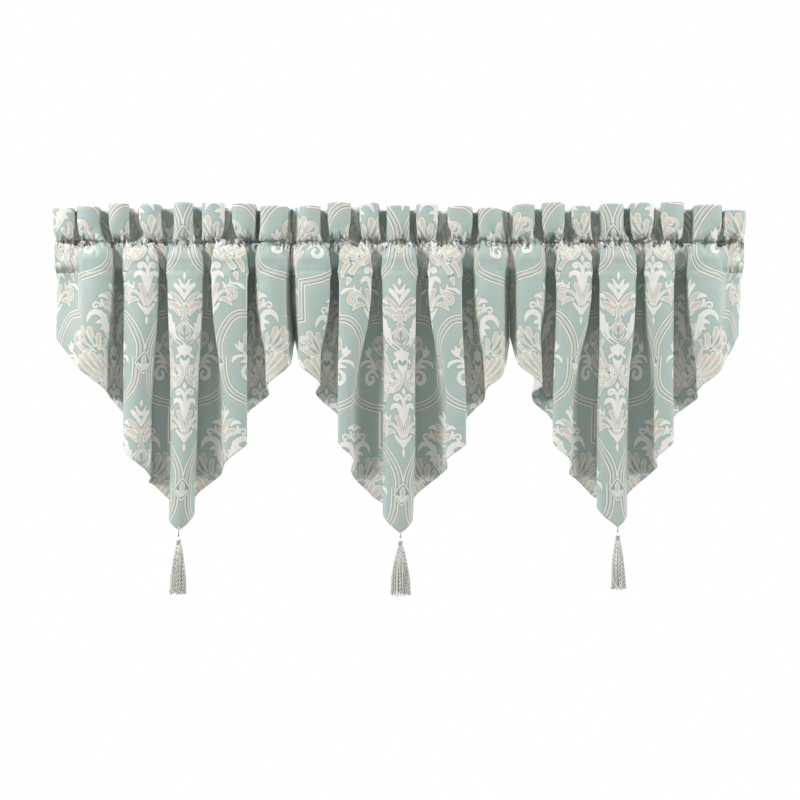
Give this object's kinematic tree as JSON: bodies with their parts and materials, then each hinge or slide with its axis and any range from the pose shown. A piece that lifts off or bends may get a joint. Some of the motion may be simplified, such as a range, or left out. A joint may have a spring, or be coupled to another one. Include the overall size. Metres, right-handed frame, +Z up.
{
  "type": "ascot valance set",
  "caption": "Pointed gathered valances side by side on one rod line, with a ruffled heading, an open rod pocket, deep folds, a V-cut hem and a tassel at each point.",
  "frame": {"origin": "middle of the rod line that runs through the three rod pockets", "axes": "+X along the rod line to the right as seen from the room, +Y towards the wall, +Z up"},
  "size_m": [1.797, 0.1134, 1.0175],
  "materials": {
    "cloth": "satin damask weave",
    "yarn": "twisted lustrous yarn",
    "cap": "polished"
  },
  "bodies": {
    "root": {"valance_left": "cloth", "valance_middle": "cloth", "valance_right": "cloth", "tassel_cord_left": "yarn", "tassel_cord_middle": "yarn", "tassel_cord_right": "yarn", "tassel_cap_left": "cap", "tassel_cap_middle": "cap", "tassel_cap_right": "cap", "tassel_skirt_left": "yarn", "tassel_skirt_middle": "yarn", "tassel_skirt_right": "yarn"}
  },
  "joints": []
}
